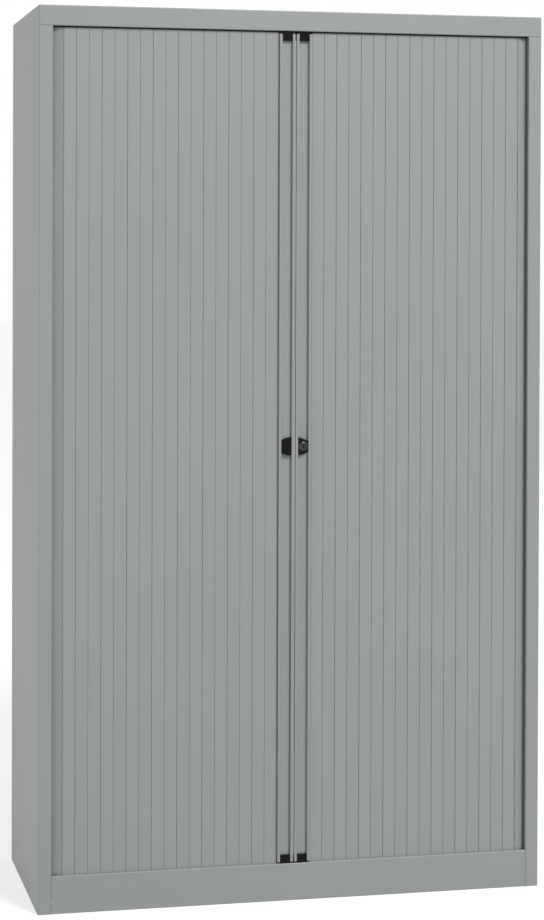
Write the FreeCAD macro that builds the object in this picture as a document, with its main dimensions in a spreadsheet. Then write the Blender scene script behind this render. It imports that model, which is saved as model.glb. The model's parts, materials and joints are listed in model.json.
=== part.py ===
import FreeCAD, Part
import math
import os
import re
import Sketcher

# Side-opening tambour cupboard, in millimetres. The origin is on the floor under the middle of
# the cupboard, the front faces -Y and +Z is up. The two curtains run from the lead bars at the
# centre to the sides, round the front corners, back along the sides and round the rear corners.
SIZES = {
    # Sheet metal
    "cabinet_width": 1150.0,
    "cabinet_depth": 450.0,
    "cabinet_height": 1980.0,
    "sheet_gauge": 1.0,
    "bend_radius": 1.0,
    "seam_gap": 0.2,
    "cut_overrun": 2.0,
    "stile_width": 30.0,
    "return_gap": 1.5,
    "rear_flange": 25.0,
    "rail_height": 44.5,
    "top_drop": 20.0,
    "plinth_height": 83.0,
    "plinth_return": 14.0,
    "panel_drop": 15.0,
    # Curtain run and its tracks
    "curtain_inset": 12.0,
    "corner_radius": 42.0,
    "track_wall": 1.5,
    "track_web": 2.0,
    "track_groove": 10.0,
    "track_lip": 3.0,
    "run_gap": 0.5,
    "slat_end_gap": 0.3,
    "track_spare": 20.0,
    # Slat profile, measured from the hinge line
    "slat_spacing": 28.4,
    "slat_count": 22.0,
    "plate_gap": 0.35,
    "plate_gauge": 1.4,
    "slat_front": 4.5,
    "slat_back": 2.0,
    "slat_wall": 1.2,
    "hook_radius": 2.8,
    "hook_wall": 1.1,
    "hook_room": 1.4,
    "bead_radius": 1.45,
    "neck_gauge": 1.0,
    # Lead bars
    "centre_gap": 3.0,
    "bar_width": 35.5,
    "bar_inset": 1.5,
    "bar_depth": 15.0,
    "bar_wall": 1.5,
    "bar_hinge_gap": 1.2,
    "inner_ridge": 6.0,
    "outer_ridge": 6.0,
    "recess_depth": 7.5,
    # End caps of the lead bars
    "cap_gap": 0.3,
    "cap_flange": 3.0,
    "cap_block": 15.0,
    "cap_step": 1.0,
    "cap_plug": 12.0,
    "cap_tongue": 9.0,
    "fit_gap": 0.1,
    # Linings, uprights and shelves
    "lining_gap": 0.5,
    "lining_flange": 35.0,
    "upright_width": 25.0,
    "upright_depth": 10.0,
    "upright_gauge": 1.2,
    "upright_inset": 42.0,
    "slot_margin": 50.0,
    "slot_spacing": 90.0,
    "slot_width": 4.0,
    "slot_height": 12.0,
    "shelf_count": 4.0,
    "shelf_fold": 25.0,
    "shelf_return": 10.0,
    "shelf_gap": 3.0,
    "shelf_side_gap": 1.0,
    "clip_width": 3.6,
    "clip_gauge": 2.0,
    "clip_reach": 17.0,
    "clip_leg": 14.0,
    "clip_hook": 4.0,
    # Feet
    "foot_inset": 45.0,
    "foot_radius": 19.0,
    "foot_rim": 3.0,
    "foot_height": 9.0,
    "foot_neck": 8.0,
    "stud_radius": 5.0,
    "stud_length": 50.0,
    "stud_slot": 2.0,
    "bore_gap": 0.05,
    "bracket_gauge": 3.0,
    "bracket_height": 28.0,
    "bracket_flange": 30.0,
    "bracket_length": 60.0,
    "nut_radius": 8.5,
    "nut_height": 6.0,
    # Lock and pull
    "lock_height": 1012.5,
    "lock_length": 39.0,
    "lock_shoulder": 26.5,
    "lock_bow": 30.0,
    "lock_side_gap": 0.2,
    "lock_proud": 0.8,
    "lock_rounding": 0.8,
    "barrel_radius": 9.0,
    "barrel_rim": 1.0,
    "rim_gauge": 0.6,
    "lock_nut_radius": 13.0,
    "lock_nut_gauge": 3.5,
    "barrel_tail": 0.5,
    "plug_radius": 5.95,
    "drive_radius": 4.0,
    "key_width": 1.6,
    "key_height": 8.0,
    "key_depth": 10.0,
    "hook_gauge": 2.5,
    "hook_hub": 10.0,
    "hook_reach": 27.5,
    "hook_band": 5.3,
    "pin_play": 1.25,
    "keep_radius": 3.0,
    "keep_head": 4.5,
    "keep_gauge": 2.0,
    "keep_width": 28.0,
    "keep_height": 44.0,
    "screw_radius": 2.0,
    "screw_head": 4.0,
    "screw_head_gauge": 1.8,
    "screw_length": 5.0,
}

# Angles in degrees. The first two give the mouth of a socket, before and behind the neck. The
# socket's outside ends at the box of a slat, or further on at the back of a lead bar.
FULL_TURN = 360
MOUTH_FRONT_ANGLE = 24
MOUTH_BACK_ANGLE = 64
PLATE_ANGLE = 94
BOX_ANGLE = 225
BAR_ANGLE = 248
NECK_ANGLE = 20
HOOK_TIP_ANGLE = 112

# Sides of the small rounds, and how often the search for a hinge halves its range
NUT_SIDES = 6
SCREW_SIDES = 12
FOOT_SIDES = 16
BARREL_SIDES = 24
HUB_SIDES = 20
LIP_SIDES = 2
SOCKET_SIDES = 5
BEAD_SIDES = 5
SEARCH_STEPS = 50

# Sizes that follow from those above
DERIVED = {
    "half_width": "cabinet_width / 2",
    "half_depth": "cabinet_depth / 2",
    "outer_bend": "bend_radius + sheet_gauge",
    "rail_bottom": "cabinet_height - rail_height",
    "front_inner": "half_depth - sheet_gauge",
    "arc_side": "half_width - curtain_inset - corner_radius",
    "arc_depth": "half_depth - curtain_inset - corner_radius",
    "hinge_line": "half_depth - curtain_inset",
    "slat_sag": "corner_radius - sqrt(corner_radius ^ 2 - (slat_spacing / 2) ^ 2)",
    "groove_front": "slat_front + run_gap",
    "groove_back": "slat_back + slat_sag + run_gap",
    "track_front": "groove_front + track_wall",
    "track_back": "groove_back + track_wall",
    "track_height": "track_groove + track_web",
    "lip_depth": "hinge_line + track_front + seam_gap",
    "stile_inner": "half_width - stile_width",
    "stile_reveal": "max(arc_side; stile_inner) - arc_side",
    "stile_return": "half_depth - arc_depth - return_gap"
                    " - sqrt((corner_radius + track_front) ^ 2 - stile_reveal ^ 2)",
    "base_top": "plinth_height - track_height",
    "ceiling_bottom": "rail_bottom + track_height",
    "interior_height": "ceiling_bottom - base_top",
    "plate_height": "base_top - panel_drop",
    "lining_side": "half_width - curtain_inset - track_back - lining_gap",
    "lining_depth": "arc_depth + sheet_gauge",
    "lining_edge": "lining_side - lining_flange",
    "back_lining": "hinge_line - track_back - lining_gap",
    "upright_face": "lining_side - sheet_gauge - upright_depth",
    "upright_place": "lining_depth - upright_inset",
    "slot_run": "interior_height - 2 * slot_margin",
    "slots_in_run": "floor(slot_run / slot_spacing) + 1",
    "shelf_side": "upright_face - shelf_side_gap",
    "shelf_front": "lining_depth - sheet_gauge - shelf_gap",
    "shelf_rear": "back_lining - sheet_gauge - shelf_gap",
    "bar_inner": "centre_gap / 2",
    "bar_outer": "bar_inner + bar_width",
    "first_hinge": "bar_outer + bar_hinge_gap",
    "front_slats": "floor((arc_side - first_hinge + plate_gap) / slat_spacing)",
    "bar_front": "curtain_inset - bar_inset",
    "bar_back": "bar_depth - bar_front",
    "recess_floor": "bar_front - recess_depth",
    "recess_inner": "bar_inner + inner_ridge",
    "recess_outer": "bar_outer - outer_ridge",
    "bar_bottom": "plinth_height + cap_gap + cap_flange",
    "bar_top": "rail_bottom - track_lip - cap_gap - cap_flange",
    "plate_back": "slat_front - plate_gauge",
    "body_start": "hook_radius + hook_room",
    "lock_inner": "recess_inner + lock_side_gap",
    "lock_outer": "recess_outer - lock_side_gap",
    "lock_front": "bar_front + lock_proud",
    "lock_axis": "(recess_inner + recess_outer) / 2",
    "barrel_front": "lock_front + rim_gauge",
    "barrel_end": "bar_back + lock_nut_gauge + barrel_tail",
    "hook_front": "barrel_end + fit_gap",
    "hook_back": "hook_front + hook_gauge",
    "hook_inner": "hook_reach + keep_radius + pin_play",
    "hook_tip": "hook_inner + hook_band",
    "stem_near": "keep_radius + pin_play",
    "keep_centre": "(bar_inner + bar_outer) / 2",
    "keep_screw_side": "keep_centre + keep_width / 4",
    "keep_screw_rise": "keep_height / 2 - 2 * screw_head",
    "foot_side": "half_width - foot_inset",
    "foot_depth": "half_depth - foot_inset",
    "bracket_edge": "foot_side - bracket_length / 2",
}

document = FreeCAD.newDocument("tambour_cupboard")
sheet = document.addObject("Spreadsheet::Sheet", "sizes")
for row, (alias, number) in enumerate(SIZES.items(), start=1):
    sheet.set(f"A{row}", alias)
    sheet.set(f"B{row}", str(number))
    sheet.setAlias(f"B{row}", alias)
document.recompute()

FORMULAS = {alias: f"sizes.{alias}" for alias in SIZES}
WORD = re.compile(r"[a-z]+(?:_[a-z]+)+")
PLACE_TOLERANCE = 1e-4
LEFT_AND_RIGHT = (("left", -1), ("right", 1))
FRONT_AND_REAR = (("front", -1), ("rear", 1))


def bound(formula):
    """The formula with each named size written as its cell in the spreadsheet."""
    return WORD.sub(lambda word: FORMULAS[word.group()], str(formula))


def value(formula):
    return float(sheet.evalExpression(bound(formula)))


for name, formula in DERIVED.items():
    FORMULAS[name] = f"({bound(formula)})"


def opposite(formula):
    return f"-({formula})"


# Outlines. A corner is (x, y), or (x, y, radius, turn) where an arc leads on to the next corner,
# with a turn of 1 to the left and -1 to the right.
def mirrored(corners):
    """The same outline on the other side of the Y axis."""
    turned = []
    for x, y, *arc in corners:
        if arc:
            arc = [arc[0], -arc[1]]
        turned.append((opposite(x), y, *arc))
    return turned


def rectangle(x_low, x_high, y_low, y_high):
    return [(x_low, y_low), (x_high, y_low), (x_high, y_high), (x_low, y_high)]


def circle(x, y, radius):
    """A full circle as an outline of one corner."""
    return [(x, y, radius, 1)]


def folded(path, gauge="sheet_gauge", bend="bend_radius"):
    """The outline of a folded sheet. The path is its outer face, with the metal on its left."""
    places = [(value(x), value(y)) for x, y in path]
    runs = []
    for (x, y), (next_x, next_y) in zip(places, places[1:]):
        length = math.hypot(next_x - x, next_y - y)
        runs.append((round((next_x - x) / length), round((next_y - y) / length)))
    outer_radius = f"({bend} + {gauge})"

    def moved(corner, *steps):
        x, y = corner
        for (step_x, step_y), distance in steps:
            if step_x:
                x = f"({x}) + {step_x} * ({distance})"
            if step_y:
                y = f"({y}) + {step_y} * ({distance})"
        return x, y

    outer = [path[0]]
    inner = [moved(path[0], ((-runs[0][1], runs[0][0]), gauge))]
    for corner, before, after in zip(path[1:], runs, runs[1:]):
        turn = before[0] * after[1] - before[1] * after[0]
        far = moved(corner, ((-before[1], before[0]), gauge), ((-after[1], after[0]), gauge))
        near_radius, far_radius = (outer_radius, bend) if turn > 0 else (bend, outer_radius)
        backward = (-before[0], -before[1])
        outer.append((*moved(corner, (backward, near_radius)), near_radius, turn))
        outer.append(moved(corner, (after, near_radius)))
        inner.append(moved(far, (backward, far_radius)))
        inner.append((*moved(far, (after, far_radius)), far_radius, -turn))
    outer.append(path[-1])
    inner.append(moved(path[-1], ((-runs[-1][1], runs[-1][0]), gauge)))
    return outer + inner[::-1]


def facets(x, y, radius, start, end, count):
    """Corners of a few-sided round, from one angle in degrees to the other."""
    angles = [start + (end - start) * step / count for step in range(count + 1)]
    return [(f"{x} + {radius} * cos({angle})", f"{y} + {radius} * sin({angle})") for angle in angles]


def few_sided(x, y, radius, sides):
    """A full round of a few sides."""
    return facets(x, y, radius, 0, FULL_TURN, sides)[:-1]


def arc_centre(start, end, radius, turn):
    """The centre of the smaller arc between two places."""
    half_x, half_y = (end[0] - start[0]) / 2, (end[1] - start[1]) / 2
    half = math.hypot(half_x, half_y)
    rise = math.sqrt(max(radius * radius - half * half, 0))
    x = start[0] + half_x - turn * rise * half_y / half
    y = start[1] + half_y + turn * rise * half_x / half
    return FreeCAD.Vector(x, y, 0)


# Sketches and features
def pin(sketch, kind, number, end, formula):
    """Bind one coordinate of a point, or a radius, to its formula."""
    if kind == "Radius":
        constraint = Sketcher.Constraint(kind, number, value(formula))
    else:
        constraint = Sketcher.Constraint(kind, -1, 1, number, end, value(formula))
    index = sketch.addConstraint(constraint)
    sketch.setExpression(f"Constraints[{index}]", bound(formula))


def draw(sketch, corners):
    """Draw one closed outline, with every corner and radius bound to its formula."""
    axis = FreeCAD.Vector(0, 0, 1)
    if len(corners) == 1:
        x, y, radius, _ = corners[0]
        centre = FreeCAD.Vector(value(x), value(y), 0)
        number = sketch.addGeometry(Part.Circle(centre, axis, value(radius)))
        pin(sketch, "DistanceX", number, 3, x)
        pin(sketch, "DistanceY", number, 3, y)
        pin(sketch, "Radius", number, 0, radius)
        return
    places = [(value(x), value(y)) for x, y, *_ in corners]
    edges = []
    for corner, start, end in zip(corners, places, places[1:] + places[:1]):
        if len(corner) == 2:
            line = Part.LineSegment(FreeCAD.Vector(*start, 0), FreeCAD.Vector(*end, 0))
            edges.append((sketch.addGeometry(line), 1, 2))
            continue
        radius, turn = value(corner[2]), corner[3]
        centre = arc_centre(start, end, radius, turn)
        first, last = (start, end) if turn > 0 else (end, start)
        angles = [math.atan2(y - centre.y, x - centre.x) for x, y in (first, last)]
        if angles[1] < angles[0]:
            angles[1] += 2 * math.pi
        arc = Part.ArcOfCircle(Part.Circle(centre, axis, radius), *angles)
        edges.append((sketch.addGeometry(arc), *((1, 2) if turn > 0 else (2, 1))))
    for (number, start, _), (before, _, end) in zip(edges, edges[-1:] + edges[:-1]):
        sketch.addConstraint(Sketcher.Constraint("Coincident", before, end, number, start))
    for corner, (number, start, _) in zip(corners, edges):
        pin(sketch, "DistanceX", number, start, corner[0])
        pin(sketch, "DistanceY", number, start, corner[1])
        if len(corner) > 2:
            pin(sketch, "Radius", number, 0, corner[2])


def new_body(label):
    body = document.addObject("PartDesign::Body", label)
    body.Label = label
    return body


def datum(body, role):
    return next(item for item in body.Origin.OriginFeatures if item.Role == role)


def extrude(body, kind, axis, start, length, *outlines, side=1):
    """Pad or Pocket outlines from a start along an axis. A side of -1 mirrors it in X."""
    role, normal = {"X": ("YZ_Plane", 1), "Y": ("XZ_Plane", -1), "Z": ("XY_Plane", 1)}[axis]
    along = side if axis == "X" else 1
    sketch = body.newObject("Sketcher::SketchObject", f"{body.Name}_outline")
    sketch.AttachmentSupport = [(datum(body, role), "")]
    sketch.MapMode = "FlatFace"
    sketch.setExpression("AttachmentOffset.Base.z", bound(f"{along * normal} * ({start})"))
    for outline in outlines:
        if axis != "X" and side < 0:
            outline = mirrored(outline)
        draw(sketch, outline)
    item = body.newObject(f"PartDesign::{kind}", f"{body.Name}_{kind.lower()}")
    item.Profile = sketch
    item.setExpression("Length", bound(length))
    item.Reversed = (along * normal < 0) == (kind == "Pad")
    return item


def pad(body, axis, start, length, *outlines, side=1):
    return extrude(body, "Pad", axis, start, length, *outlines, side=side)


def pocket(body, axis, start, length, *outlines, side=1):
    return extrude(body, "Pocket", axis, start, length, *outlines, side=side)


def repeat(body, item, axis, pitch, count):
    """Repeat a feature at a pitch along an axis of the body."""
    pattern = body.newObject("PartDesign::LinearPattern", f"{body.Name}_pattern")
    pattern.Originals = [item]
    pattern.Direction = (datum(body, f"{axis[-1]}_Axis"), [""])
    pattern.Reversed = axis.startswith("-")
    pattern.setExpression("Occurrences", bound(count))
    pattern.setExpression("Length", bound(f"({pitch}) * (({count}) - 1)"))
    body.Tip = pattern
    return pattern


def edges_at(shape, **places):
    """Names of the edges whose two ends are at the given coordinates."""
    wanted = {axis: value(formula) for axis, formula in places.items()}
    names = []
    for number, edge in enumerate(shape.Edges, start=1):
        ends = [vertex.Point for vertex in edge.Vertexes]
        gaps = [abs(getattr(end, axis) - place) for end in ends for axis, place in wanted.items()]
        if max(gaps) < PLACE_TOLERANCE:
            names.append(f"Edge{number}")
    return names


def round_edges(body, radius, **places):
    document.recompute()
    base = body.Tip
    item = body.newObject("PartDesign::Fillet", f"{body.Name}_fillet")
    item.Base = (base, edges_at(base.Shape, **places))
    item.setExpression("Radius", bound(radius))


def slope_top(body, top, inward, downward):
    """Cut the rim of a flat top to a slope."""
    document.recompute()
    base = body.Tip
    item = body.newObject("PartDesign::Chamfer", f"{body.Name}_slope")
    item.Base = (base, edges_at(base.Shape, z=top))
    item.ChamferType = "Two distances"
    item.FlipDirection = True
    item.setExpression("Size", bound(inward))
    item.setExpression("Size2", bound(downward))


# Carcass
def side_panel(name, side):
    """Front stile, side and rear flange, folded from one sheet."""
    body = new_body(f"{name}_side_panel")
    path = [
        ("stile_inner", "stile_return - half_depth"),
        ("stile_inner", "-half_depth"),
        ("half_width", "-half_depth"),
        ("half_width", "half_depth"),
        ("half_width - rear_flange", "half_depth"),
    ]
    pad(body, "Z", "0", "cabinet_height", folded(path), side=side)
    notch = rectangle("stile_inner - cut_overrun", "half_width - outer_bend",
                      "-half_depth - cut_overrun", "stile_return - half_depth + cut_overrun")
    pocket(body, "Z", "rail_bottom", "rail_height + cut_overrun", notch, side=side)


def top_panel():
    """Rear flange, top and front rail with its bottom lip, and a flange down each side."""
    body = new_body("top_panel")
    path = [
        ("front_inner", "cabinet_height - top_drop"),
        ("front_inner", "cabinet_height"),
        ("-half_depth", "cabinet_height"),
        ("-half_depth", "rail_bottom"),
        ("-lip_depth", "rail_bottom"),
    ]
    pad(body, "X", "outer_bend - half_width", "cabinet_width - 2 * outer_bend", folded(path))
    flange = rectangle("-front_inner", "front_inner - sheet_gauge",
                       "cabinet_height - top_drop", "cabinet_height - sheet_gauge")
    for _, side in LEFT_AND_RIGHT:
        pad(body, "X", "half_width - outer_bend - sheet_gauge", "sheet_gauge", flange, side=side)


def ceiling_panel():
    body = new_body("ceiling_panel")
    front = "seam_gap - front_inner"
    rear = "front_inner - sheet_gauge - seam_gap"
    top = "ceiling_bottom + panel_drop"
    path = [(front, top), (front, "ceiling_bottom"), (rear, "ceiling_bottom"), (rear, top)]
    reach = "half_width - outer_bend - sheet_gauge - seam_gap"
    pad(body, "X", opposite(reach), f"2 * ({reach})", folded(path))


def base_panel():
    """Floor of the cupboard, folded down at the front and rear and notched for the stiles."""
    body = new_body("base_panel")
    rear = "front_inner - sheet_gauge"
    path = [(rear, "plate_height"), (rear, "base_top"), ("-front_inner", "base_top"),
            ("-front_inner", "plate_height")]
    reach = "half_width - sheet_gauge - seam_gap"
    pad(body, "X", opposite(reach), f"2 * ({reach})", folded(path))
    notch = rectangle("stile_inner - seam_gap", "half_width", "-half_depth",
                      "stile_return - half_depth + seam_gap")
    for _, side in LEFT_AND_RIGHT:
        pocket(body, "Z", "plate_height - cut_overrun", "panel_drop + 2 * cut_overrun", notch, side=side)


def front_plinth():
    body = new_body("front_plinth")
    path = [("-lip_depth", "plinth_height"), ("-half_depth", "plinth_height"), ("-half_depth", "0"),
            ("plinth_return - half_depth", "0")]
    reach = "stile_inner - seam_gap"
    pad(body, "X", opposite(reach), f"2 * ({reach})", folded(path))


def rear_plinth():
    body = new_body("rear_plinth")
    path = [("front_inner - plinth_return", "0"), ("front_inner", "0"), ("front_inner", "plate_height")]
    reach = "half_width - outer_bend"
    pad(body, "X", opposite(reach), f"2 * ({reach})", folded(path))


def back_panel():
    body = new_body("back_panel")
    reach = "half_width - outer_bend"
    outline = rectangle(opposite(reach), reach, "plate_height + seam_gap",
                        "cabinet_height - top_drop - seam_gap")
    pad(body, "Y", "front_inner - sheet_gauge", "sheet_gauge", outline)


# Linings, which keep the load off the curtains
def side_lining(name, side):
    body = new_body(f"{name}_inner_liner")
    path = [("lining_edge", "-lining_depth"), ("lining_side", "-lining_depth"),
            ("lining_side", "lining_depth"), ("lining_edge", "lining_depth")]
    pad(body, "Z", "base_top", "interior_height - seam_gap", folded(path), side=side)


def inner_back():
    body = new_body("inner_back_panel")
    edge = "lining_edge - seam_gap"
    near = "lining_depth + seam_gap"
    path = [(edge, near), (edge, "back_lining"), (opposite(edge), "back_lining"), (opposite(edge), near)]
    pad(body, "Z", "base_top", "interior_height - seam_gap", folded(path))


# Tracks
def run_band(front, back, start, end):
    """The band along one curtain run, between two distances from its hinge line."""
    outer = f"(corner_radius + {front})"
    inner = f"(corner_radius - {back})"
    return [
        (start, f"-arc_depth - {outer}"),
        ("arc_side", f"-arc_depth - {outer}", outer, 1),
        (f"arc_side + {outer}", "-arc_depth"),
        (f"arc_side + {outer}", "arc_depth", outer, 1),
        ("arc_side", f"arc_depth + {outer}"),
        (end, f"arc_depth + {outer}"),
        (end, f"arc_depth + {inner}"),
        ("arc_side", f"arc_depth + {inner}", inner, -1),
        (f"arc_side + {inner}", "arc_depth"),
        (f"arc_side + {inner}", "-arc_depth", inner, -1),
        ("arc_side", f"-arc_depth - {inner}"),
        (start, f"-arc_depth - {inner}"),
    ]


def curtain_track(name, side, level, bottom, height, groove):
    """A channel bent along the whole run, long enough to park the open curtain."""
    body = new_body(f"{name}_{level}_track")
    spare = "slat_count * slat_spacing + track_spare - pi * corner_radius - 2 * arc_depth"
    end = f"arc_side - max({spare}; track_spare)"
    pad(body, "Z", bottom, height, run_band("track_front", "track_back", "seam_gap / 2", end), side=side)
    pocket(body, "Z", groove, f"{height} - track_web + cut_overrun",
           run_band("groove_front", "groove_back", "-cut_overrun", f"{end} - cut_overrun"), side=side)


# Curtains. A place on a profile is (distance from the centre, distance out from the hinge line).
def at_front(profile):
    """A profile set on the straight front run."""
    return [(x, f"-hinge_line - ({out})") for x, out in profile]


def socket(hinge, end_angle):
    """Open ring that holds the next slat's bead, from its front lip round to its back lip."""
    back = FULL_TURN - MOUTH_BACK_ANGLE
    outside = facets(hinge, "0", "hook_radius", PLATE_ANGLE, MOUTH_FRONT_ANGLE, LIP_SIDES)
    inside = facets(hinge, "0", "(hook_radius - hook_wall)", MOUTH_FRONT_ANGLE, back, SOCKET_SIDES)
    return outside + inside + facets(hinge, "0", "hook_radius", back, end_angle, LIP_SIDES)


def slat_profile(start):
    """One slat: front plate, box behind it, a bead at the leading edge, a socket at the other."""
    end = f"{start} + slat_spacing"
    bead = facets(start, "0", "bead_radius", -NECK_ANGLE, NECK_ANGLE - FULL_TURN, BEAD_SIDES)
    box = f"{start} + body_start"
    return [
        (f"{start} + plate_gap / 2", "plate_back"),
        (f"{start} + plate_gap / 2", "slat_front"),
        (f"{end} - plate_gap / 2", "slat_front"),
        *socket(end, BOX_ANGLE),
        (box, "-slat_back"),
        (box, "-neck_gauge / 2"),
        *bead,
        (box, "neck_gauge / 2"),
        (box, "plate_back"),
    ]


def slat_hollow(start):
    low = f"{start} + body_start + slat_wall"
    high = f"{start} + slat_spacing - body_start - slat_wall"
    return rectangle(low, high, "slat_wall - slat_back", "plate_back")


def front_curtain(name, side):
    """The slats across the front, which the lead bar pulls along."""
    body = new_body(f"{name}_curtain")
    slat = pad(body, "Z", "plinth_height - track_groove + slat_end_gap",
               "rail_bottom - plinth_height + 2 * track_groove - 2 * slat_end_gap",
               at_front(slat_profile("first_hinge")), at_front(slat_hollow("first_hinge")), side=side)
    repeat(body, slat, "X" if side > 0 else "-X", "slat_spacing", "front_slats")


def on_run(distance):
    """A place on the right curtain's hinge line, from the start of the front corner's arc."""
    side, depth, radius = value("arc_side"), value("arc_depth"), value("corner_radius")
    quarter = radius * math.pi / 2
    if distance < 0:
        return side + distance, -depth - radius
    if distance < quarter:
        turn = distance / radius
        return side + radius * math.sin(turn), -depth - radius * math.cos(turn)
    return side + radius, -depth + distance - quarter


def next_hinge(distance):
    """How far along the run the next hinge is: one pitch away in a straight line."""
    pitch = value("slat_spacing")
    near, far = distance, distance + 2 * pitch
    for _ in range(SEARCH_STEPS):
        middle = (near + far) / 2
        if math.dist(on_run(distance), on_run(middle)) < pitch:
            near = middle
        else:
            far = middle
    return near


def corner_slats(name, side):
    """The slats that are already round the corner while the doors are shut."""
    profiles = [[(value(x), value(out)) for x, out in outline]
                for outline in (slat_profile("0"), slat_hollow("0"))]
    bottom = value("plinth_height - track_groove + slat_end_gap")
    height = FreeCAD.Vector(0, 0, value("rail_bottom - plinth_height + 2 * track_groove - 2 * slat_end_gap"))
    solids = []
    here = value("first_hinge + slat_spacing * front_slats - arc_side")
    for _ in range(round(value("slat_count - front_slats"))):
        there = next_hinge(here)
        (x, y), (far_x, far_y) = on_run(here), on_run(there)
        turn = math.atan2(far_y - y, far_x - x)
        wires = []
        for profile in profiles:
            corners = []
            for along, out in profile:
                place_x = x + along * math.cos(turn) + out * math.sin(turn)
                place_y = y + along * math.sin(turn) - out * math.cos(turn)
                corners.append(FreeCAD.Vector(side * place_x, place_y, bottom))
            wires.append(Part.makePolygon(corners + corners[:1]))
        solids.append(Part.makeFace(wires, "Part::FaceMakerBullseye").extrude(height))
        here = there
    item = document.addObject("Part::Feature", f"{name}_corner_slats")
    item.Shape = Part.makeCompound(solids)
    item.Placement = FreeCAD.Placement()


# Lead bars and their end caps
def lead_bar(name, side):
    """Hollow bar with a finger recess between two ridges and a socket for the first slat."""
    body = new_body(f"{name}_lead_bar")
    profile = [
        ("bar_inner", "bar_front"),
        ("recess_inner", "bar_front"),
        ("recess_inner", "recess_floor"),
        ("recess_outer", "recess_floor"),
        ("recess_outer", "bar_front"),
        ("bar_outer", "bar_front"),
        ("bar_outer", "hook_radius"),
        *socket("first_hinge", BAR_ANGLE),
        ("bar_outer", "-bar_back"),
        ("bar_inner", "-bar_back"),
    ]
    cavity_end = "first_hinge - body_start"
    hollow = [
        ("bar_inner + bar_wall", "bar_wall - bar_back"),
        (cavity_end, "bar_wall - bar_back"),
        (cavity_end, "bar_front - bar_wall"),
        ("recess_outer + bar_wall", "bar_front - bar_wall"),
        ("recess_outer + bar_wall", "recess_floor - bar_wall"),
        ("recess_inner - bar_wall", "recess_floor - bar_wall"),
        ("recess_inner - bar_wall", "bar_front - bar_wall"),
        ("bar_inner + bar_wall", "bar_front - bar_wall"),
    ]
    pad(body, "Z", "bar_bottom", "bar_top - bar_bottom", at_front(profile), at_front(hollow), side=side)
    back = "-hinge_line - recess_floor - cut_overrun"
    through = "recess_floor + bar_back + 2 * cut_overrun"
    if side > 0:
        bore = few_sided("lock_axis", "lock_height", "(barrel_radius + fit_gap)", BARREL_SIDES)
        pocket(body, "Y", back, through, bore)
    else:
        holes = keep_screw_rounds("screw_radius + fit_gap")
        pocket(body, "Y", "-hinge_line", "bar_back + cut_overrun", *holes, side=side)


def end_cap(name, side, level):
    """Plastic cap: a flange over the bar's end, a block in its recess, a plug in its hollow
    and a tongue that runs in the track."""
    body = new_body(f"{name}_{level}_cap")
    gap = "fit_gap"
    layers = [
        ("bar_bottom - cap_flange", "cap_flange",
         rectangle("bar_inner", f"first_hinge - bead_radius - 2 * {gap}", "-bar_back", "bar_front")),
        ("bar_bottom", "cap_block",
         rectangle(f"recess_inner + {gap}", f"recess_outer - {gap}", f"recess_floor + {gap}",
                   "bar_front - cap_step")),
        ("bar_bottom", "cap_plug",
         rectangle(f"bar_inner + bar_wall + {gap}", f"first_hinge - body_start - {gap}",
                   f"bar_wall - bar_back + {gap}", f"recess_floor - bar_wall - {gap}")),
        ("bar_bottom - cap_flange - cap_tongue", "cap_tongue",
         rectangle("bar_inner + bar_wall", "bar_outer - bar_wall", "run_gap - groove_back",
                   "groove_front - run_gap")),
    ]
    for start, length, outline in layers:
        if level == "upper":
            start = f"bar_bottom + bar_top - ({start}) - ({length})"
        pad(body, "Z", start, length, at_front(outline), side=side)


# Lock, pull and keep. Y runs back from the hinge line of the front run.
def from_hinge(distance):
    return f"-hinge_line + ({distance})"


def half_oval():
    """The outline of the pull and of the lock's housing: half an oval, cut off by the recess."""
    return [
        ("lock_inner", "lock_height - lock_length / 2", "lock_bow", 1),
        ("lock_outer", "lock_height - lock_shoulder / 2"),
        ("lock_outer", "lock_height + lock_shoulder / 2", "lock_bow", 1),
        ("lock_inner", "lock_height + lock_length / 2"),
    ]


def keep_screw_rounds(radius):
    """The same round at both screws of the keep."""
    heights = [f"lock_height {sign} keep_screw_rise" for sign in "-+"]
    return [few_sided("keep_screw_side", height, f"({radius})", SCREW_SIDES) for height in heights]


def recess_piece(label, side, *holes):
    body = new_body(label)
    pad(body, "Y", from_hinge("-lock_front"), "lock_front - recess_floor", half_oval(), *holes, side=side)
    round_edges(body, "lock_rounding", x=f"{side} * lock_inner", y=from_hinge("-lock_front"))


def lock_cylinder():
    body = new_body("lock_barrel")
    bore = circle("lock_axis", "lock_height", "plug_radius + bore_gap")
    pad(body, "Y", from_hinge("-barrel_front"), "rim_gauge",
        few_sided("lock_axis", "lock_height", "(barrel_radius + barrel_rim)", BARREL_SIDES), bore)
    pad(body, "Y", from_hinge("-lock_front"), "lock_front + barrel_end",
        few_sided("lock_axis", "lock_height", "barrel_radius", BARREL_SIDES), bore)
    nut = new_body("lock_nut")
    pad(nut, "Y", from_hinge("bar_back"), "lock_nut_gauge",
        few_sided("lock_axis", "lock_height", "lock_nut_radius", NUT_SIDES),
        few_sided("lock_axis", "lock_height", "(barrel_radius + fit_gap)", BARREL_SIDES))


def lock_plug():
    """The part that a key turns, with its keyway and the boss that drives the hook."""
    body = new_body("lock_plug")
    pad(body, "Y", from_hinge("-lock_front"), "lock_front + hook_front",
        circle("lock_axis", "lock_height", "plug_radius"))
    pad(body, "Y", from_hinge("hook_front"), "hook_gauge",
        few_sided("lock_axis", "lock_height", "drive_radius", SCREW_SIDES))
    pocket(body, "Y", from_hinge("-lock_front"), "key_depth",
           rectangle("lock_axis - key_width / 2", "lock_axis + key_width / 2",
                     "lock_height - key_height / 2", "lock_height + key_height / 2"))
    pocket(body, "Y", from_hinge("hook_back - screw_length"), "screw_length",
           few_sided("lock_axis", "lock_height", "(screw_radius + bore_gap)", SCREW_SIDES))


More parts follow.
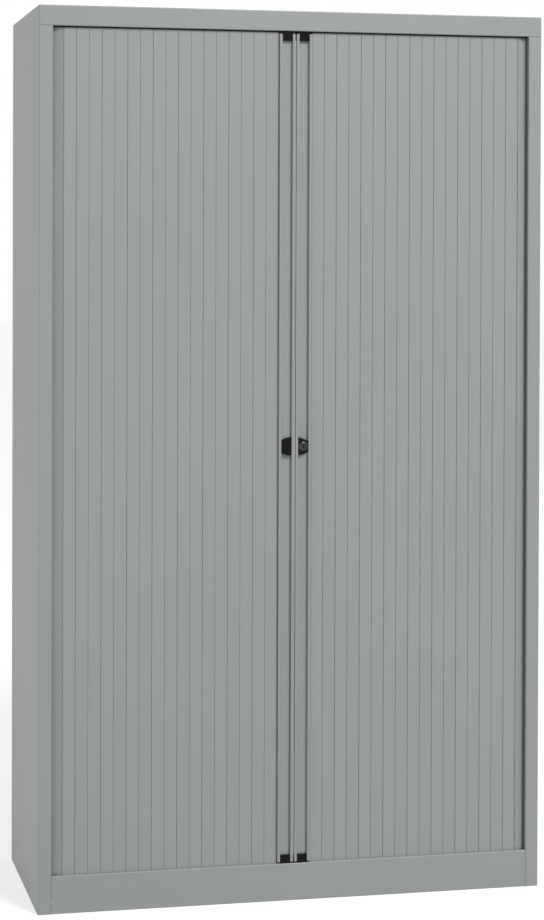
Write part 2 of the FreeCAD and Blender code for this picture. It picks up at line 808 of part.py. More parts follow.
def on_axis(radius, angle):
    return (f"lock_axis + ({radius}) * cos({angle})", f"lock_height + ({radius}) * sin({angle})")


def lock_hook():
    """Plate whose stem and curved end close round the keep's pin, upright while the lock is open."""
    body = new_body("lock_hook")
    start = from_hinge("hook_front")
    outline = [
        ("lock_axis + hook_hub", "lock_height"),
        ("lock_axis + hook_hub", "lock_height + sqrt(hook_tip ^ 2 - hook_hub ^ 2)", "hook_tip", 1),
        on_axis("hook_tip", HOOK_TIP_ANGLE),
        (*on_axis("hook_inner", HOOK_TIP_ANGLE), "hook_inner", -1),
        ("lock_axis + stem_near", "lock_height + sqrt(hook_inner ^ 2 - stem_near ^ 2)"),
        ("lock_axis + stem_near", "lock_height"),
    ]
    pad(body, "Y", start, "hook_gauge", outline)
    pad(body, "Y", start, "hook_gauge", few_sided("lock_axis", "lock_height", "hook_hub", HUB_SIDES))
    pocket(body, "Y", start, "hook_gauge",
           few_sided("lock_axis", "lock_height", "(drive_radius + bore_gap)", SCREW_SIDES))
    screw = new_body("hook_screw")
    pad(screw, "Y", from_hinge("hook_back"), "screw_head_gauge",
        few_sided("lock_axis", "lock_height", "(drive_radius + screw_radius)", SCREW_SIDES))
    pad(screw, "Y", from_hinge("hook_back - screw_length + fit_gap"), "screw_length - fit_gap",
        few_sided("lock_axis", "lock_height", "screw_radius", SCREW_SIDES))


def lock_keep():
    """Plate on the back of the left bar with the headed pin that the hook closes on."""
    body = new_body("lock_keep")
    edge = "keep_centre - keep_width / 2"
    plate = rectangle(edge, f"{edge} + keep_width", "lock_height - keep_height / 2",
                      "lock_height + keep_height / 2")
    pad(body, "Y", from_hinge("bar_back"), "keep_gauge", plate,
        *keep_screw_rounds("screw_radius + fit_gap"), side=-1)
    pin_side = "hook_reach - lock_axis"
    pad(body, "Y", from_hinge("bar_back"), "hook_back - bar_back + cap_gap",
        few_sided(pin_side, "lock_height", "keep_radius", SCREW_SIDES), side=-1)
    pad(body, "Y", from_hinge("hook_back + cap_gap"), "keep_gauge",
        few_sided(pin_side, "lock_height", "keep_head", SCREW_SIDES), side=-1)
    screws = new_body("keep_screws")
    for head, shank in zip(keep_screw_rounds("screw_head"), keep_screw_rounds("screw_radius")):
        pad(screws, "Y", from_hinge("bar_back + keep_gauge"), "screw_head_gauge", head, side=-1)
        pad(screws, "Y", from_hinge("bar_back + keep_gauge - screw_length"), "screw_length", shank, side=-1)


# Uprights, shelves and clips
def shelf_height(number):
    """The slot nearest to this shelf's even share of the height."""
    share = f"interior_height * {number} / (shelf_count + 1)"
    return f"base_top + slot_margin + slot_spacing * round(({share} - slot_margin) / slot_spacing)"


def upright(name, side, end, way):
    body = new_body(f"{name}_{end}_upright")
    centre = f"{way} * upright_place"
    far, near = f"{centre} + upright_width / 2", f"{centre} - upright_width / 2"
    deep = "upright_face + upright_depth"
    path = [(deep, far), ("upright_face", far), ("upright_face", near), (deep, near)]
    pad(body, "Z", "base_top", "interior_height - seam_gap",
        folded(path, "upright_gauge", "bend_radius"), side=side)
    low = "base_top + slot_margin - slot_height / 2"
    slot = rectangle(f"{centre} - slot_width / 2", f"{centre} + slot_width / 2", low, f"{low} + slot_height")
    first = pocket(body, "X", "upright_face - cut_overrun", "upright_gauge + 2 * cut_overrun", slot,
                   side=side)
    repeat(body, first, "Z", "slot_spacing", "slots_in_run")


def shelf(number):
    """Tray folded down at its front and rear edges, notched for the inner back panel."""
    body = new_body(f"shelf_{number}")
    top = f"{shelf_height(number)} + sheet_gauge"
    low = f"{top} - shelf_fold"
    path = [("shelf_rear - shelf_return", low), ("shelf_rear", low), ("shelf_rear", top),
            ("-shelf_front", top), ("-shelf_front", low), ("shelf_return - shelf_front", low)]
    pad(body, "X", "-shelf_side", "2 * shelf_side", folded(path))
    notch = rectangle("lining_edge - shelf_gap", "half_width", "shelf_front", "half_depth")
    for _, side in LEFT_AND_RIGHT:
        pocket(body, "Z", f"{low} - cut_overrun", "shelf_fold + 2 * cut_overrun", notch, side=side)


def shelf_clips():
    """Bent clips hooked into the uprights' slots, one under each corner of each shelf."""
    body = new_body("shelf_clips")
    for number in range(1, round(value("shelf_count")) + 1):
        top = shelf_height(number)
        hook_near = "upright_face + upright_gauge + cap_gap"
        hook_far = f"{hook_near} + clip_gauge"
        leg_near = "upright_face - cap_gap - clip_gauge"
        outline = [
            ("upright_face - clip_reach", top),
            (hook_near, top),
            (hook_near, f"{top} + clip_hook"),
            (hook_far, f"{top} + clip_hook"),
            (hook_far, f"{top} - clip_gauge"),
            (f"{leg_near} + clip_gauge", f"{top} - clip_gauge"),
            (f"{leg_near} + clip_gauge", f"{top} - clip_leg"),
            (leg_near, f"{top} - clip_leg"),
            (leg_near, f"{top} - clip_gauge"),
            ("upright_face - clip_reach", f"{top} - clip_gauge"),
        ]
        for _, side in LEFT_AND_RIGHT:
            for _, way in FRONT_AND_REAR:
                pad(body, "Y", f"{way} * upright_place - clip_width / 2", "clip_width", outline, side=side)


# Feet
def foot(name, side, end, way):
    """Levelling foot in a folded bracket: pad, slotted stud and lock nut."""
    depth = f"{way} * foot_depth"
    bracket = new_body(f"{name}_{end}_foot_bracket")
    wall = "half_width - sheet_gauge"
    path = [("bracket_edge", "bracket_height"), (wall, "bracket_height"),
            (wall, "bracket_height + bracket_flange")]
    pad(bracket, "Y", f"{depth} - bracket_length / 2", "bracket_length",
        folded(path, "bracket_gauge", "bracket_gauge"), side=side)
    pocket(bracket, "Z", "bracket_height - cut_overrun", "bracket_gauge + 2 * cut_overrun",
           stud_bore(depth), side=side)
    stud = new_body(f"{name}_{end}_foot_stud")
    pad(stud, "Z", "foot_height", "stud_length",
        few_sided("foot_side", depth, "stud_radius", SCREW_SIDES), side=side)
    pocket(stud, "Z", "foot_height + stud_length - stud_slot", "stud_slot",
           rectangle("foot_side - stud_radius", "foot_side + stud_radius",
                     f"{depth} - stud_slot / 2", f"{depth} + stud_slot / 2"), side=side)
    glide = new_body(f"{name}_{end}_foot_pad")
    pad(glide, "Z", "0", "foot_height", few_sided("foot_side", depth, "foot_radius", FOOT_SIDES), side=side)
    slope_top(glide, "foot_height", "foot_radius - foot_neck", "foot_height - foot_rim")


def stud_bore(depth):
    return few_sided("foot_side", depth, "(stud_radius + bore_gap)", SCREW_SIDES)


def foot_nuts():
    body = new_body("foot_nuts")
    for _, side in LEFT_AND_RIGHT:
        for _, way in FRONT_AND_REAR:
            depth = f"{way} * foot_depth"
            pad(body, "Z", "bracket_height + bracket_gauge", "nut_height",
                few_sided("foot_side", depth, "nut_radius", NUT_SIDES), stud_bore(depth), side=side)


top_panel()
ceiling_panel()
base_panel()
front_plinth()
rear_plinth()
back_panel()
inner_back()
for name, side in LEFT_AND_RIGHT:
    side_panel(name, side)
    side_lining(name, side)
    curtain_track(name, side, "lower", "base_top", "track_height", "base_top + track_web")
    curtain_track(name, side, "upper", "rail_bottom - track_lip", "(track_height + track_lip)",
                  "rail_bottom - track_lip - cut_overrun")
    front_curtain(name, side)
    corner_slats(name, side)
    lead_bar(name, side)
    for level in ("lower", "upper"):
        end_cap(name, side, level)
    for end, way in FRONT_AND_REAR:
        upright(name, side, end, way)
        foot(name, side, end, way)
foot_nuts()
for number in range(1, round(value("shelf_count")) + 1):
    shelf(number)
shelf_clips()
recess_piece("left_pull", -1)
recess_piece("lock_housing", 1,
             few_sided("lock_axis", "lock_height", "(barrel_radius + fit_gap)", BARREL_SIDES))
lock_cylinder()
lock_plug()
lock_hook()
lock_keep()
document.recompute()

# Check every object, then write each sub-part
for item in document.Objects:
    if "Invalid" in item.State or "Error" in item.State:
        raise ValueError(f"{item.Label} failed: {item.State}")
    if item.TypeId == "PartDesign::Pocket" and item.Shape.Volume >= item.BaseFeature.Shape.Volume:
        raise ValueError(f"{item.Label} cuts nothing")

os.makedirs("parts", exist_ok=True)
for item in document.Objects:
    if item.TypeId not in ("PartDesign::Body", "Part::Feature"):
        continue
    if item.Shape.isNull() or not item.Shape.isValid():
        raise ValueError(f"{item.Label} has no valid shape")
    item.Shape.exportStep(os.path.join("parts", f"{item.Label}.step"))
    print(item.Label, len(item.Shape.Solids), "solids", round(item.Shape.Volume / 1000), "cubic cm")
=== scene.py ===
import json
from math import cos, pi, radians, sin

import bmesh
import bpy
from mathutils import Matrix, Vector


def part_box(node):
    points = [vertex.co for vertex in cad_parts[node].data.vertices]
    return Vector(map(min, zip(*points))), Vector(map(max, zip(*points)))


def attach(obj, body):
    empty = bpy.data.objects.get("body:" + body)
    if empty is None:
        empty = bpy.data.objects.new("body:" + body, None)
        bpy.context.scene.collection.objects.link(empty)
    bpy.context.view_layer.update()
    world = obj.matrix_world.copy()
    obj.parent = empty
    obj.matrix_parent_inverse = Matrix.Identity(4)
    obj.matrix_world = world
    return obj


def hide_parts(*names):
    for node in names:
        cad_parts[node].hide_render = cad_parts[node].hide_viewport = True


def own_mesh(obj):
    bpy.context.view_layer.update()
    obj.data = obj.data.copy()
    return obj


# A tambour cupboard of steel sheet, in metres. The front faces -Y and the floor is at z 0.
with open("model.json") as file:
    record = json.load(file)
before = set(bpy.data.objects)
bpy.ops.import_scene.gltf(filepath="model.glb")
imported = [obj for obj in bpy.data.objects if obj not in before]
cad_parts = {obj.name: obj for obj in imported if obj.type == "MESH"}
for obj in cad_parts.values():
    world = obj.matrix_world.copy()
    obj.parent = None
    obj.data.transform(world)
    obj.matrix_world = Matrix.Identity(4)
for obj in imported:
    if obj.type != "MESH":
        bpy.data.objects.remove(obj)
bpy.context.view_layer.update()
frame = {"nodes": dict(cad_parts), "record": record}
NODES = frame["nodes"]
SIDES = (("left", -1), ("right", 1))
LEVELS = ("lower", "upper")
ENDS = ("front", "rear")

# Camera, found from the corners of the cupboard in the photograph
IMAGE_HEIGHT = 920
FOCAL_PIXELS = 2172
SENSOR = 36.0
CAMERA_PLACE = (-1.229, -4.900, 1.445)
CAMERA_YAW = 11.68
CAMERA_PITCH = -0.64
CAMERA_ROLL = 0.16
AXIS_OFFSET = (92, -184)

# Light. Each lamp has its place, its target, its width and height, and its power.
KEY_LAMP = ((3.2, -7.5, 8.5), (0.0, 0.0, 1.1), (3.0, 3.0), 700)
SIDE_LAMP = ((-6.0, 1.6, 1.4), (0.0, 0.0, 0.9), (2.0, 2.0), 24)
WHITE = (1.0, 1.0, 1.0, 1.0)
SKY_STRENGTH = 0.42
BACKGROUND_STRENGTH = 1.0
FLOOR_SIZE = 80.0
FLOOR_GLOW = 0.60

# Colours, linear
PAINT_GREY = (0.328, 0.346, 0.342)
SLAT_GREY = (0.345, 0.364, 0.360)
BAR_GREY = (0.335, 0.353, 0.349)
LINING_GREY = (0.345, 0.360, 0.356)
BLACK = (0.004, 0.004, 0.005)
TRACK_BLACK = (0.010, 0.010, 0.011)
# Nickel darkened far below real plated metal: painted shade that stands in for the dark
# reflections of the lock barrel
NICKEL_WITH_PAINTED_SHADE = (0.055, 0.055, 0.053)
ZINC = (0.52, 0.54, 0.56)
FLOOR_WHITE = (0.60, 0.60, 0.60)

# The part of a noise pattern's range that is spread between a low and a high value
NOISE_LOW = 0.3
NOISE_HIGH = 0.7

# Mesh work
MERGE_DISTANCE = 2e-6
PLACE_TOLERANCE = 0.00005
FLAT_ANGLE = radians(0.5)
SMOOTH_ANGLE = radians(35)
EDGE_SEGMENTS = 2
SEAM_SEGMENTS = 3
NOSE_SEGMENTS = 4
ROUND_SIDES = 64

# Slats. Even and odd joints are rounded by their own radius, and so is the joint at the corner.
SLAT_PITCH = 0.0284
SLAT_FRONT = -0.2175
BAR_EDGE = 0.0382
SLAT_ROUNDINGS = {"left": (0.0011, 0.0005), "right": (0.0014, 0.0009)}
CORNER_ROUNDING = 0.0004
CORNER_JOINT = 2
CORNER_GROOVE = 0.0015

# Lead bars, with the strip, caps, pull and lock housing that they carry
RIDGE_ROUNDING = 0.0006
CAP_ROUNDING = 0.0004
STRIP_TUCK = 0.0002
STRIP_NOSE = 0.0026
STRIP_SETBACK = 0.0010
STRIP_GAUGE = 0.0024
STRIP_ROUNDING = 0.00115
PULL_BEVEL = 0.0022
PULL_HOLE = 0.0105
HOUSING_END = 0.78

# Lock barrel. The dome is given as radii and their heights over the housing.
BARREL_BORE = 0.006
BARREL_BODY = 0.009
BARREL_RIM = 0.0104
BORE_RISE = 0.0010
RIM_GAUGE = 0.0006
DOME = ((0.0062, 0.0011), (0.0075, 0.0009), (0.0084, 0.0006), (0.0092, 0.0002))

# Foot pads and plinth
PAD_RIM = 0.003
PAD_NECK = 0.008
PAD_ROUNDING = 0.0008
EDGE_ROUNDING = 0.0003
LIP_GAUGE = 0.0011
LIP_DEPTH = 0.0017
LIP_RISE = 0.0006


# Materials
class Finish:
    """A material under construction, with short calls for the nodes that it is made of."""

    def __init__(self, name):
        self.material = bpy.data.materials.new(name)
        self.material.use_nodes = True
        self.tree = self.material.node_tree
        self.shader = self.tree.nodes["Principled BSDF"]
        self.places = self.tree.nodes.new("ShaderNodeTexCoord").outputs["Object"]

    def node(self, kind, **settings):
        made = self.tree.nodes.new(kind)
        for key, setting in settings.items():
            setattr(made, key, setting)
        return made

    def link(self, source, socket):
        self.tree.links.new(source, socket)

    def stretched(self, scale):
        """The object's coordinates, multiplied by a scale for each axis."""
        mapping = self.node("ShaderNodeMapping")
        mapping.inputs["Scale"].default_value = scale
        self.link(self.places, mapping.inputs["Vector"])
        return mapping.outputs["Vector"]

    def noise(self, scale, detail=2.0, places=None):
        made = self.node("ShaderNodeTexNoise")
        made.inputs["Scale"].default_value = scale
        made.inputs["Detail"].default_value = detail
        self.link(places or self.places, made.inputs["Vector"])
        return made.outputs["Fac"]

    def spread(self, factor, low, high):
        """A noise factor laid out evenly between a low and a high value."""
        made = self.node("ShaderNodeMapRange")
        made.inputs["From Min"].default_value = NOISE_LOW
        made.inputs["From Max"].default_value = NOISE_HIGH
        made.inputs["To Min"].default_value = low
        made.inputs["To Max"].default_value = high
        self.link(factor, made.inputs["Value"])
        return made.outputs["Result"]

    def shaded(self, colour, share, *others):
        """A colour multiplied by one or more varying shares."""
        for other in others:
            product = self.node("ShaderNodeMath", operation="MULTIPLY")
            self.link(share, product.inputs[0])
            self.link(other, product.inputs[1])
            share = product.outputs["Value"]
        made = self.node("ShaderNodeVectorMath", operation="SCALE")
        made.inputs[0].default_value = colour
        self.link(share, made.inputs["Scale"])
        self.link(made.outputs["Vector"], self.shader.inputs["Base Color"])

    def bump(self, height, distance, strength, normal=None):
        """Small relief on the surface, on top of an earlier one where its normal is given."""
        made = self.node("ShaderNodeBump")
        made.inputs["Distance"].default_value = distance
        made.inputs["Strength"].default_value = strength
        self.link(height, made.inputs["Height"])
        if normal:
            self.link(normal, made.inputs["Normal"])
        self.link(made.outputs["Normal"], self.shader.inputs["Normal"])
        return made.outputs["Normal"]

    def set(self, **values):
        """Plain values on the shader, with words joined by underscores for spaces."""
        for key, number in values.items():
            socket = key.replace("_", " ").title().replace("Ior", "IOR")
            self.shader.inputs[socket].default_value = number
        return self

    def rough(self, factor):
        self.link(factor, self.shader.inputs["Roughness"])


def powder_coat(name, colour):
    """Silver-grey powder coat: a fine pebbled skin with a little metal flake in it."""
    finish = Finish(name)
    clouds = finish.spread(finish.noise(scale=2.5, detail=3.0), low=0.985, high=1.015)
    flakes = finish.spread(finish.noise(scale=2600.0, detail=1.0), low=0.93, high=1.07)
    finish.shaded(colour, clouds, flakes)
    pebbles = finish.noise(scale=750.0)
    finish.rough(finish.spread(pebbles, low=0.40, high=0.52))
    finish.bump(pebbles, distance=0.00010, strength=0.5)
    return finish.set(metallic=0.15).material


def extruded_plastic(name, colour):
    """Matt grey plastic with the faint upright lines of its extrusion."""
    finish = Finish(name)
    lines = finish.noise(scale=1.0, detail=3.0, places=finish.stretched((900.0, 900.0, 1.2)))
    clouds = finish.spread(finish.noise(scale=1.8), low=0.985, high=1.015)
    finish.shaded(colour, clouds, finish.spread(lines, low=0.985, high=1.015))
    grain = finish.noise(scale=1400.0)
    finish.rough(finish.spread(grain, low=0.42, high=0.54))
    normal = finish.bump(lines, distance=0.00004, strength=0.6)
    finish.bump(grain, distance=0.00003, strength=0.4, normal=normal)
    return finish.material


def moulded_plastic(name, colour, roughness=0.34, grain_scale=1100.0):
    """Black moulded plastic with a fine spark-eroded grain."""
    finish = Finish(name)
    grain = finish.noise(scale=grain_scale, detail=3.0)
    clouds = finish.spread(finish.noise(scale=40.0), low=0.85, high=1.15)
    finish.shaded(colour, clouds, finish.spread(grain, low=0.8, high=1.2))
    finish.rough(finish.spread(grain, low=roughness - 0.06, high=roughness + 0.08))
    finish.bump(grain, distance=0.00005, strength=0.5)
    return finish.set(specular_ior_level=0.12).material


def plated_metal(name, colour, roughness, brushed=(1.0, 1.0, 1.0)):
    """Plated steel or brass with fine polishing lines and slight stains in its shine."""
    finish = Finish(name)
    lines = finish.noise(scale=700.0, detail=3.0, places=finish.stretched(brushed))
    stains = finish.noise(scale=55.0, detail=4.0)
    polish = finish.spread(lines, low=0.97, high=1.03)
    finish.shaded(colour, finish.spread(stains, low=0.90, high=1.06), polish)
    finish.rough(finish.spread(stains, low=roughness - 0.05, high=roughness + 0.09))
    finish.bump(lines, distance=0.00001, strength=0.4)
    return finish.set(metallic=1.0).material


def floor_material():
    """Pale floor that reads as white to the camera and in reflections, and keeps the shadow."""
    finish = Finish("floor")
    finish.shaded(FLOOR_WHITE, finish.spread(finish.noise(scale=0.8), low=0.995, high=1.005))
    finish.set(roughness=0.8, emission_color=WHITE)
    rays = finish.node("ShaderNodeLightPath")
    seen = finish.node("ShaderNodeMath", operation="MAXIMUM")
    finish.link(rays.outputs["Is Camera Ray"], seen.inputs[0])
    finish.link(rays.outputs["Is Glossy Ray"], seen.inputs[1])
    glow = finish.node("ShaderNodeMath", operation="MULTIPLY")
    glow.inputs[1].default_value = FLOOR_GLOW
    finish.link(seen.outputs["Value"], glow.inputs[0])
    finish.link(glow.outputs["Value"], finish.shader.inputs["Emission Strength"])
    return finish.material


MATERIALS = {
    "cabinet_paint": powder_coat("cabinet_paint", PAINT_GREY),
    "lining_paint": powder_coat("lining_paint", LINING_GREY),
    "bar_paint": extruded_plastic("bar_paint", BAR_GREY),
    "slats": extruded_plastic("slats", SLAT_GREY),
    "track_plastic": moulded_plastic("track_plastic", TRACK_BLACK, roughness=0.36,
                                     grain_scale=700.0),
    "black_plastic": moulded_plastic("black_plastic", BLACK),
    "foot_plastic": moulded_plastic("foot_plastic", BLACK, roughness=0.5, grain_scale=500.0),
    # The nickel takes the darkened colour above, which is painted shade
    "nickel": plated_metal("nickel", NICKEL_WITH_PAINTED_SHADE, roughness=0.25),
    "zinc": plated_metal("zinc", ZINC, roughness=0.38, brushed=(1.0, 1.0, 0.2)),
}
SLOTS = {part["node"]: part["material_slot"] for part in frame["record"]["subparts"]}
for node, slot in SLOTS.items():
    for place in NODES[node].material_slots:
        place.material = MATERIALS[slot]


# Tools for pieces
def merged_copy(node):
    """A CAD node's mesh with its corners merged and its flat faces made whole."""
    work = bmesh.new()
    work.from_mesh(NODES[node].data)
    bmesh.ops.remove_doubles(work, verts=work.verts, dist=MERGE_DISTANCE)
    bmesh.ops.dissolve_limit(work, angle_limit=FLAT_ANGLE, verts=work.verts, edges=work.edges)
    return work


def soften(work, radius, segments, chosen):
    """Round the sharp outer edges that the chosen test picks by their two ends."""
    edges = [edge for edge in work.edges if len(edge.link_faces) == 2 and edge.is_convex
             and edge.calc_face_angle(0.0) > SMOOTH_ANGLE
             and chosen(*(corner.co for corner in edge.verts))]
    bmesh.ops.bevel(work, geom=edges, offset=radius, offset_type="OFFSET", segments=segments,
                    profile=0.5, affect="EDGES", material=-1, clamp_overlap=True)


def lathe(profile, centre, axis):
    """A closed outline of radii and places along the Y or Z axis, turned into a full round."""
    def point(radius, along):
        across, other = centre[0] + radius, centre[1]
        return (across, along, other) if axis == "Y" else (across, other, along)

    work = bmesh.new()
    corners = [work.verts.new(point(radius, along)) for radius, along in profile]
    edges = [work.edges.new(pair) for pair in zip(corners, corners[1:] + corners[:1])]
    direction = (0, 1, 0) if axis == "Y" else (0, 0, 1)
    bmesh.ops.spin(work, geom=corners + edges, cent=point(0, 0), axis=direction, angle=2 * pi,
                   steps=ROUND_SIDES, use_merge=True)
    bmesh.ops.remove_doubles(work, verts=work.verts, dist=MERGE_DISTANCE)
    bmesh.ops.recalc_face_normals(work, faces=work.faces)
    return work


def add_mesh(name, work, material):
    """An object in the scene with a finished mesh and one material."""
    mesh = bpy.data.meshes.new(name)
    work.to_mesh(mesh)
    work.free()
    mesh.materials.clear()
    mesh.materials.append(material)
    made = bpy.data.objects.new(name, mesh)
    bpy.context.scene.collection.objects.link(made)
    return made


def piece(name, work, slot, body, *nodes):
    """Finish a mesh as a piece that rides on a body and stands for CAD nodes."""
    made = add_mesh(name, work, MATERIALS[slot])
    made.data.shade_smooth()
    made.data.set_sharp_from_angle(angle=SMOOTH_ANGLE)
    normals = made.modifiers.new("flat_faces", "WEIGHTED_NORMAL")
    normals.keep_sharp = True
    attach(made, body)
    if nodes:
        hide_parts(*nodes)
    return made


def middle(node, first, second):
    """The centre of a node's box in two of its axes."""
    low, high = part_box(node)
    return (low[first] + high[first]) / 2, (low[second] + high[second]) / 2


def near(value, target):
    return abs(value - target) < PLACE_TOLERANCE


def upright_edge(a, b):
    return near(a.x, b.x) and near(a.y, b.y)


def joint_at(x):
    """The number of the slat joint at a place across the front, counted from the lead bar."""
    return round((abs(x) - BAR_EDGE) / SLAT_PITCH)


# Pieces
def curtain(name, side):
    """The slats across the front, with their joints rounded and the joint at the corner grooved
    deeper.
    """
    work = merged_copy(f"{name}_curtain")
    last = joint_at(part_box(f"{name}_curtain")[side > 0][0])
    for corner in work.verts:
        if near(corner.co.y, SLAT_FRONT) and joint_at(corner.co.x) == last:
            corner.co.x -= side * CORNER_GROOVE
    for kind, radius in enumerate((*SLAT_ROUNDINGS[name], CORNER_ROUNDING)):
        def on_joint(a, b, kind=kind):
            joint = joint_at(a.x)
            at_front = near(a.y, SLAT_FRONT) and near(b.y, SLAT_FRONT) and near(a.x, b.x)
            return at_front and kind == (CORNER_JOINT if joint == last else joint % 2)
        soften(work, radius, SEAM_SEGMENTS, on_joint)
    made = piece(f"{name}_curtain_slats", work, "slats", f"{name}_door", f"{name}_curtain")
    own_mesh(made)


def turned_slats(name):
    """The slats that are already round the corner, with the same rounded plates."""
    work = merged_copy(f"{name}_corner_slats")
    soften(work, SLAT_ROUNDINGS[name][1], EDGE_SEGMENTS, upright_edge)
    piece(f"{name}_turned_slats", work, "slats", "cabinet", f"{name}_corner_slats")


def lead_bar(name):
    """The channel at a door's leading edge, with the ridges beside its recess rounded."""
    work = merged_copy(f"{name}_lead_bar")
    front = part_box(f"{name}_lead_bar")[0][1]
    soften(work, RIDGE_ROUNDING, SEAM_SEGMENTS,
           lambda a, b: upright_edge(a, b) and near(a.y, front))
    piece(f"{name}_grip_bar", work, "bar_paint", f"{name}_door", f"{name}_lead_bar")


def end_cap(name, level):
    """A black cap in the end of a lead bar, with all its edges rounded."""
    work = merged_copy(f"{name}_{level}_cap")
    soften(work, CAP_ROUNDING, EDGE_SEGMENTS, lambda a, b: True)
    piece(f"{name}_{level}_end_cap", work, "black_plastic", f"{name}_door", f"{name}_{level}_cap")


def half_oval(node, name, body, end=1.0):
    """The pull or the lock's housing, with its front rim bevelled and its outer end narrowed."""
    work = merged_copy(node)
    low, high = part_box(node)
    across, height = middle("lock_plug", 0, 2)
    inner = min(abs(low[0]), abs(high[0]))

    def outside(corner):
        return (corner.x - across) ** 2 + (corner.z - height) ** 2 > PULL_HOLE ** 2

    def on_rim(a, b):
        return all(near(corner.y, low[1]) and outside(corner) for corner in (a, b))

    for corner in work.verts:
        if outside(corner.co):
            share = (abs(corner.co.x) - inner) / (high[0] - low[0])
            corner.co.z = height + (corner.co.z - height) * (1 + share * (end - 1))
    soften(work, PULL_BEVEL, EDGE_SEGMENTS, on_rim)
    piece(name, work, "black_plastic", body, node)


def meeting_strip():
    """The soft lip of the left bar that closes the gap between the two bars."""
    bar_low, bar_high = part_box("left_lead_bar")
    edge, front = bar_high[0] - STRIP_TUCK, bar_low[1] + STRIP_SETBACK
    low = Vector((edge, front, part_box("left_lower_cap")[1][2]))
    high = Vector((edge + STRIP_NOSE, front + STRIP_GAUGE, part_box("left_upper_cap")[0][2]))
    place = Matrix.Translation((low + high) / 2) @ Matrix.Diagonal((*(high - low), 1.0))
    work = bmesh.new()
    bmesh.ops.create_cube(work, size=1.0, matrix=place)
    soften(work, STRIP_ROUNDING, NOSE_SEGMENTS,
           lambda a, b: upright_edge(a, b) and near(a.x, high.x))
    piece("meeting_strip", work, "bar_paint", "left_door")


def lock():
    """The barrel turned with a domed rim, and the plug with its edge broken."""
    low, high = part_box("lock_barrel")
    front, back = low[1], high[1]
    profile = [
        (BARREL_BORE, back), (BARREL_BORE, front - BORE_RISE),
        *((radius, front - rise) for radius, rise in DOME),
        (BARREL_RIM, front + RIM_GAUGE), (BARREL_BODY, front + RIM_GAUGE), (BARREL_BODY, back),
    ]
    work = lathe(profile, middle("lock_plug", 0, 2), "Y")
    piece("lock_barrel_turned", work, "nickel", "right_door", "lock_barrel")
    work = merged_copy("lock_plug")
    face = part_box("lock_plug")[0][1]
    soften(work, EDGE_ROUNDING, EDGE_SEGMENTS, lambda a, b: near(a.y, face) and near(b.y, face))
    piece("lock_plug_face", work, "nickel", "lock", "lock_plug")


def foot_pad(name, end):
    """A round glide with its rim rounded, under the stud."""
    node = f"{name}_{end}_foot_pad"
    low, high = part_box(node)
    radius = (high[0] - low[0]) / 2
    profile = [
        (0, low[2]), (radius - PAD_ROUNDING, low[2]), (radius, low[2] + PAD_ROUNDING),
        (radius, PAD_RIM - PAD_ROUNDING), (radius - PAD_ROUNDING, PAD_RIM),
        (PAD_NECK, high[2]), (0, high[2]),
    ]
    work = lathe(profile, middle(node, 0, 1), "Z")
    piece(f"{name}_{end}_glide", work, "foot_plastic", f"{name}_{end}_foot", node)


def plinth():
    """The front plinth, with its top lip back over the track and its ends broken."""
    work = merged_copy("front_plinth")
    low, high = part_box("front_plinth")
    top = [corner for corner in work.verts if corner.co.z > high[2] - LIP_GAUGE]
    lip = max(corner.co.y for corner in top)
    for corner in top:
        if near(corner.co.y, lip):
            corner.co.y += LIP_DEPTH
            corner.co.z += LIP_RISE
    soften(work, EDGE_ROUNDING, EDGE_SEGMENTS,
           lambda a, b: near(abs(a.x), high[0]) and near(abs(b.x), high[0]))
    piece("plinth_front", work, "cabinet_paint", "cabinet", "front_plinth")


for name, side in SIDES:
    curtain(name, side)
    turned_slats(name)
    lead_bar(name)
    for level in LEVELS:
        end_cap(name, level)
    for end in ENDS:
        foot_pad(name, end)
half_oval("left_pull", "pull", "left_door")
half_oval("lock_housing", "lock_surround", "right_door", HOUSING_END)
meeting_strip()
lock()
plinth()


# Floor, lamps, sky and camera
def add_floor():
    work = bmesh.new()
    bmesh.ops.create_grid(work, x_segments=1, y_segments=1, size=FLOOR_SIZE / 2)
    floor = add_mesh("floor", work, floor_material())


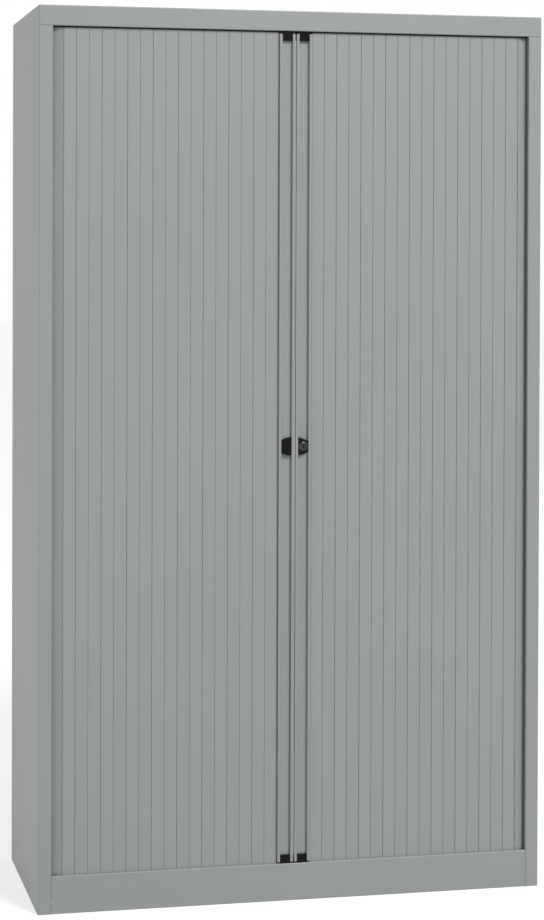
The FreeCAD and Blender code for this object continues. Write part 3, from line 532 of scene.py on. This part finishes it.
def add_lamp(name, place, target, size, power):
    lamp = bpy.data.lights.new(name, "AREA")
    lamp.shape = "RECTANGLE"
    lamp.size, lamp.size_y = size
    lamp.energy = power
    holder = bpy.data.objects.new(name, lamp)
    holder.location = place
    aim = Vector(target) - Vector(place)
    holder.rotation_euler = aim.to_track_quat("-Z", "Y").to_euler()
    bpy.context.scene.collection.objects.link(holder)


def add_sky():
    """Even light from all round, white to the camera and in reflections."""
    world = bpy.data.worlds.new("sky")
    world.use_nodes = True
    bpy.context.scene.world = world
    tree = world.node_tree
    shade = tree.nodes["Background"]
    shade.inputs["Color"].default_value = WHITE
    rays = tree.nodes.new("ShaderNodeLightPath")
    seen = rays.outputs["Is Camera Ray"]
    for ray in ("Is Glossy Ray", "Is Transmission Ray"):
        either = tree.nodes.new("ShaderNodeMath")
        either.operation = "MAXIMUM"
        tree.links.new(seen, either.inputs[0])
        tree.links.new(rays.outputs[ray], either.inputs[1])
        seen = either.outputs["Value"]
    level = tree.nodes.new("ShaderNodeMapRange")
    level.inputs["To Min"].default_value = SKY_STRENGTH
    level.inputs["To Max"].default_value = BACKGROUND_STRENGTH
    tree.links.new(seen, level.inputs["Value"])
    tree.links.new(level.outputs["Result"], shade.inputs["Strength"])


def add_camera():
    yaw, pitch, roll = (radians(angle) for angle in (CAMERA_YAW, CAMERA_PITCH, CAMERA_ROLL))
    forward = Vector((sin(yaw) * cos(pitch), cos(yaw) * cos(pitch), sin(pitch)))
    level = Vector((cos(yaw), -sin(yaw), 0.0))
    upright = level.cross(forward)
    right = level * cos(roll) + upright * sin(roll)
    up = upright * cos(roll) - level * sin(roll)
    lens = bpy.data.cameras.new("camera")
    lens.sensor_width = SENSOR
    lens.lens = FOCAL_PIXELS / IMAGE_HEIGHT * SENSOR
    lens.shift_x, lens.shift_y = (offset / IMAGE_HEIGHT for offset in AXIS_OFFSET)
    holder = bpy.data.objects.new("camera", lens)
    axes = Matrix((right, up, -forward)).transposed()
    holder.matrix_world = Matrix.Translation(CAMERA_PLACE) @ axes.to_4x4()
    bpy.context.scene.collection.objects.link(holder)
    bpy.context.scene.camera = holder


add_floor()
add_sky()
add_lamp("key_lamp", *KEY_LAMP)
add_lamp("side_lamp", *SIDE_LAMP)
add_camera()
bpy.context.scene.view_settings.view_transform = "Standard"
